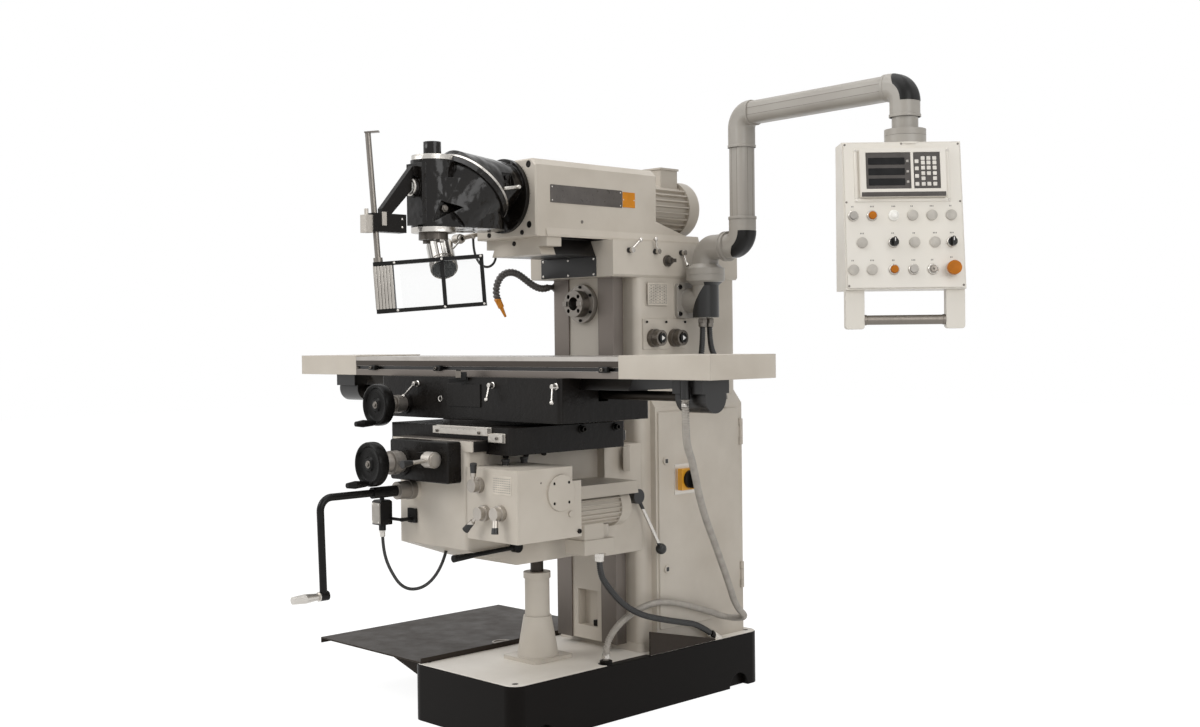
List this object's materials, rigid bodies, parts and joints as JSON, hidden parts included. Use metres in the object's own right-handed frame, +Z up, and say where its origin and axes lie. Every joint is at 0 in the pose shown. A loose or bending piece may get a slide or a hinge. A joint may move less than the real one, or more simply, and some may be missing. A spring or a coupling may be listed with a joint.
{
  "type": "cnc universal milling machine",
  "caption": "Knee-type universal milling machine with a ram, two-swivel inclined head, horizontal spindle, swivelling tee-slot table and pendant control box on a swing arm.",
  "frame": {"origin": "on the floor, under the middle of the column's knee ways", "axes": "+Z up, +X to the operator's right, +Y from the operator to the back of the machine"},
  "size_m": [2.2457, 1.686, 1.972],
  "materials": {
    "base_paint": "black enamel sides, cream top",
    "cream_paint": "satin textured enamel",
    "tray_grey": "dark grey satin enamel",
    "black_paint": "semi-gloss black enamel",
    "motor_paint": "satin enamel",
    "ground_iron": "ground or machined",
    "cover_paint": "satin enamel on sheet",
    "bright_steel": "turned and ground",
    "black_lever": "gloss black",
    "guard_black": "black frame with an alloy post profile",
    "clear_screen": "clear polycarbonate",
    "lamp_metal": "satin alloy",
    "arm_alloy": "satin alloy paint",
    "pendant_paint": "off-white enamel on sheet",
    "black_plastic": "moulded",
    "orange_plastic": "moulded",
    "grey_plastic": "moulded",
    "hose_grey": "corrugated hose",
    "conduit_black": "corrugated conduit and cable",
    "coolant_blue": "segmented hose with an orange nozzle"
  },
  "bodies": {
    "frame": {"base_casting": "base_paint", "drip_tray": "tray_grey", "column_casting": "cream_paint", "elevating_pedestal": "ground_iron", "arm_base": "arm_alloy", "coolant_hose": "coolant_blue", "pendant_conduits": "conduit_black", "drain_hose": "hose_grey", "motor_conduit": "conduit_black"},
    "ram": {"ram_casting": "cream_paint", "ram_motor": "motor_paint", "lamp_cable": "conduit_black"},
    "head": {"head_housing": "black_paint", "guard_bracket": "black_paint"},
    "guard": {"guard_frame": "guard_black", "guard_screen": "clear_screen"},
    "knee": {"knee_casting": "cream_paint", "knee_gear_cover": "black_paint", "feed_gearbox": "cream_paint", "feed_motor": "motor_paint", "limit_switch": "black_plastic", "switch_cable": "conduit_black"},
    "table": {"table_plate": "ground_iron", "table_end_covers": "cover_paint"},
    "elevating_screw": {"elevating_screw": "bright_steel"},
    "lower_saddle": {"lower_saddle": "black_paint"},
    "swivel_carrier": {"swivel_carrier": "black_paint"},
    "table_screw": {"table_screw": "bright_steel"},
    "table_handwheel": {"table_handwheel": "black_lever"},
    "cross_handwheel": {"cross_handwheel": "black_lever"},
    "knee_crank": {"knee_crank": "black_lever"},
    "feed_lever_1": {"feed_lever_1": "bright_steel"},
    "feed_lever_2": {"feed_lever_2": "bright_steel"},
    "feed_lever_3": {"feed_lever_3": "bright_steel"},
    "cross_feed_lever": {"cross_feed_lever": "bright_steel"},
    "knee_clamp_lever": {"knee_clamp_lever": "black_lever"},
    "knee_ball_lever": {"knee_ball_lever": "bright_steel"},
    "ram_feed_shaft": {"ram_feed_shaft": "bright_steel"},
    "ram_clamp_lever_1": {"ram_clamp_lever_1": "bright_steel"},
    "ram_clamp_lever_2": {"ram_clamp_lever_2": "bright_steel"},
    "ram_clamp_lever_3": {"ram_clamp_lever_3": "bright_steel"},
    "swivel_housing": {"swivel_housing": "black_paint"},
    "vertical_spindle": {"vertical_spindle": "bright_steel"},
    "horizontal_spindle": {"horizontal_spindle": "bright_steel"},
    "guard_post": {"guard_post": "bright_steel"},
    "lamp_arm": {"lamp_arm": "lamp_metal"},
    "lamp_head": {"lamp_head": "lamp_metal"},
    "cabinet_door": {"cabinet_door": "cream_paint"},
    "main_switch_knob": {"main_switch_knob": "black_plastic"},
    "speed_knob_left": {"speed_knob_left": "black_plastic"},
    "speed_knob_right": {"speed_knob_right": "black_plastic"},
    "swing_arm": {"swing_arm": "arm_alloy"},
    "pendant": {"pendant_housing": "pendant_paint"},
    "emergency_stop": {"emergency_stop": "orange_plastic"},
    "push_button_1": {"push_button_1": "grey_plastic"},
    "push_button_2": {"push_button_2": "orange_plastic"},
    "push_button_3": {"push_button_3": "orange_plastic"},
    "push_button_4": {"push_button_4": "grey_plastic"},
    "selector_left": {"selector_left": "black_plastic"},
    "selector_right": {"selector_right": "black_plastic"}
  },
  "joints": [
    {"name": "knee_slide", "type": "slide", "parent": "frame", "child": "knee", "axis": [0, 0, 1], "range_m": [-0.25, 0.08], "deforming": ["drain_hose", "motor_conduit"]},
    {"name": "elevating_screw_turn", "type": "hinge", "parent": "knee", "child": "elevating_screw", "pos_m": [0, -0.22, 0.7], "axis": [0, 0, 1], "range_deg": [-15100, 4900]},
    {"name": "saddle_slide", "type": "slide", "parent": "knee", "child": "lower_saddle", "axis": [0, -1, 0], "range_m": [-0.02, 0.18], "deforming": ["drain_hose"]},
    {"name": "table_swivel", "type": "hinge", "parent": "lower_saddle", "child": "swivel_carrier", "pos_m": [0, -0.335, 0.964], "axis": [0, 0, -1], "range_deg": [-30, 30], "deforming": ["drain_hose"]},
    {"name": "table_slide", "type": "slide", "parent": "swivel_carrier", "child": "table", "axis": [1, 0, 0], "range_m": [-0.3, 0.3], "deforming": ["drain_hose"]},
    {"name": "table_screw_turn", "type": "hinge", "parent": "table", "child": "table_screw", "pos_m": [0, -0.335, 1.044], "axis": [1, 0, 0], "range_deg": [-18100, 18100]},
    {"name": "table_handwheel_turn", "type": "hinge", "parent": "swivel_carrier", "child": "table_handwheel", "pos_m": [-0.305, -0.55, 1.006], "axis": [0, -1, 0], "continuous": true},
    {"name": "cross_handwheel_turn", "type": "hinge", "parent": "knee", "child": "cross_handwheel", "pos_m": [-0.08, -0.72, 0.842], "axis": [0, -1, 0], "continuous": true},
    {"name": "knee_crank_turn", "type": "hinge", "parent": "knee", "child": "knee_crank", "pos_m": [-0.08, -0.7, 0.756], "axis": [0, -1, 0], "continuous": true},
    {"name": "feed_lever_1_turn", "type": "hinge", "parent": "knee", "child": "feed_lever_1", "pos_m": [0.226, -0.65, 0.787], "axis": [0, -1, 0], "range_deg": [-25, 25]},
    {"name": "feed_lever_2_turn", "type": "hinge", "parent": "knee", "child": "feed_lever_2", "pos_m": [0.252, -0.65, 0.708], "axis": [0, -1, 0], "range_deg": [-25, 25]},
    {"name": "feed_lever_3_turn", "type": "hinge", "parent": "knee", "child": "feed_lever_3", "pos_m": [0.323, -0.65, 0.712], "axis": [0, -1, 0], "range_deg": [-25, 25]},
    {"name": "cross_feed_lever_tip", "type": "hinge", "parent": "knee", "child": "cross_feed_lever", "pos_m": [0.09, -0.715, 0.858], "axis": [1, 0, 0], "range_deg": [-18, 18]},
    {"name": "knee_clamp_turn", "type": "hinge", "parent": "knee", "child": "knee_clamp_lever", "pos_m": [0.18, -0.463, 0.583], "axis": [1, 0, 0], "range_deg": [-7, 15]},
    {"name": "knee_ball_lever_turn", "type": "hinge", "parent": "knee", "child": "knee_ball_lever", "pos_m": [0.21, 0.022, 0.697], "axis": [-1, 0, 0], "range_deg": [-10, 40]},
    {"name": "ram_slide", "type": "slide", "parent": "frame", "child": "ram", "axis": [0, -1, 0], "range_m": [-0.17, 0.33]},
    {"name": "ram_feed_turn", "type": "hinge", "parent": "frame", "child": "ram_feed_shaft", "pos_m": [0.198, 0.199, 1.465], "axis": [1, 0, 0], "range_deg": [-560, 1085]},
    {"name": "ram_clamp_1_turn", "type": "hinge", "parent": "frame", "child": "ram_clamp_lever_1", "pos_m": [0.2, 0.018, 1.494], "axis": [1, 0, 0], "range_deg": [-30, 30]},
    {"name": "ram_clamp_2_turn", "type": "hinge", "parent": "frame", "child": "ram_clamp_lever_2", "pos_m": [0.2, 0.141, 1.494], "axis": [1, 0, 0], "range_deg": [-30, 30]},
    {"name": "ram_clamp_3_turn", "type": "hinge", "parent": "frame", "child": "ram_clamp_lever_3", "pos_m": [0.2, 0.268, 1.494], "axis": [1, 0, 0], "range_deg": [-30, 30]},
    {"name": "head_swivel", "type": "hinge", "parent": "ram", "child": "swivel_housing", "pos_m": [0, -0.335, 1.661], "axis": [0, -1, 0], "range_deg": [-90, 90]},
    {"name": "head_tilt", "type": "hinge", "parent": "swivel_housing", "child": "head", "pos_m": [0, -0.478, 1.674], "axis": [0, -0.7071, -0.7071], "range_deg": [-90, 90]},
    {"name": "vertical_spindle_spin", "type": "hinge", "parent": "head", "child": "vertical_spindle", "pos_m": [0, -0.622, 1.55], "axis": [0, 0, 1], "continuous": true},
    {"name": "horizontal_spindle_spin", "type": "hinge", "parent": "frame", "child": "horizontal_spindle", "pos_m": [0, 0, 1.325], "axis": [0, 1, 0], "continuous": true},
    {"name": "guard_post_slide", "type": "slide", "parent": "head", "child": "guard_post", "axis": [-0.0464, -0.0474, 0.9978], "range_m": [-0.08, 0.06]},
    {"name": "guard_turn", "type": "hinge", "parent": "guard_post", "child": "guard", "pos_m": [0, -0.835, 1.555], "axis": [-0.0464, -0.0474, 0.9978], "range_deg": [-75, 75]},
    {"name": "lamp_arm_tip", "type": "hinge", "parent": "ram", "child": "lamp_arm", "pos_m": [-0.155, -0.285, 1.56], "axis": [1, 0, 0], "range_deg": [-12, 20], "deforming": ["lamp_cable"]},
    {"name": "lamp_tilt", "type": "hinge", "parent": "lamp_arm", "child": "lamp_head", "pos_m": [-0.173, -0.388, 1.535], "axis": [1, 0, 0], "range_deg": [-12, 30]},
    {"name": "door_swing", "type": "hinge", "parent": "frame", "child": "cabinet_door", "pos_m": [0.221, 0.544, 0.6], "axis": [0, 0, 1], "range_deg": [0, 110], "deforming": ["drain_hose", "motor_conduit"]},
    {"name": "main_switch_turn", "type": "hinge", "parent": "cabinet_door", "child": "main_switch_knob", "pos_m": [0.23, 0.253, 0.737], "axis": [1, 0, 0], "range_deg": [-90, 0]},
    {"name": "speed_knob_left_turn", "type": "hinge", "parent": "frame", "child": "speed_knob_left", "pos_m": [0.194, 0.132, 1.209], "axis": [1, 0, 0], "range_deg": [-150, 150]},
    {"name": "speed_knob_right_turn", "type": "hinge", "parent": "frame", "child": "speed_knob_right", "pos_m": [0.194, 0.234, 1.209], "axis": [1, 0, 0], "range_deg": [-150, 150]},
    {"name": "arm_swing", "type": "hinge", "parent": "frame", "child": "swing_arm", "pos_m": [0.275, 0.305, 1.42], "axis": [0, 0, 1], "range_deg": [-60, 60]},
    {"name": "pendant_turn", "type": "hinge", "parent": "swing_arm", "child": "pendant", "pos_m": [1.08849, 0.26059, 1.78], "axis": [0, 0, 1], "range_deg": [-100, 100]},
    {"name": "stop_press", "type": "slide", "parent": "pendant", "child": "emergency_stop", "axis": [-0.7075, 0.6929, -0.1392], "range_m": [0, 0.005], "stiffness_N_per_m": 900},
    {"name": "button_1_press", "type": "slide", "parent": "pendant", "child": "push_button_1", "axis": [-0.7075, 0.6929, -0.1392], "range_m": [0, 0.004], "stiffness_N_per_m": 700},
    {"name": "button_2_press", "type": "slide", "parent": "pendant", "child": "push_button_2", "axis": [-0.7075, 0.6929, -0.1392], "range_m": [0, 0.004], "stiffness_N_per_m": 700},
    {"name": "button_3_press", "type": "slide", "parent": "pendant", "child": "push_button_3", "axis": [-0.7075, 0.6929, -0.1392], "range_m": [0, 0.004], "stiffness_N_per_m": 700},
    {"name": "button_4_press", "type": "slide", "parent": "pendant", "child": "push_button_4", "axis": [-0.7075, 0.6929, -0.1392], "range_m": [0, 0.004], "stiffness_N_per_m": 700},
    {"name": "selector_left_turn", "type": "hinge", "parent": "pendant", "child": "selector_left", "pos_m": [1.11569, 0.15557, 1.47086], "axis": [0.7075, -0.6929, 0.1392], "range_deg": [-45, 45]},
    {"name": "selector_right_turn", "type": "hinge", "parent": "pendant", "child": "selector_right", "pos_m": [1.23184, 0.27417, 1.47086], "axis": [0.7075, -0.6929, 0.1392], "range_deg": [-45, 45]}
  ],
  "couplings": [
    {"joint": "elevating_screw_turn", "follows": "knee_slide", "rad_per_m": 1047.2},
    {"joint": "table_screw_turn", "follows": "table_slide", "rad_per_m": 1047.2},
    {"joint": "ram_feed_turn", "follows": "ram_slide", "rad_per_m": 57}
  ]
}
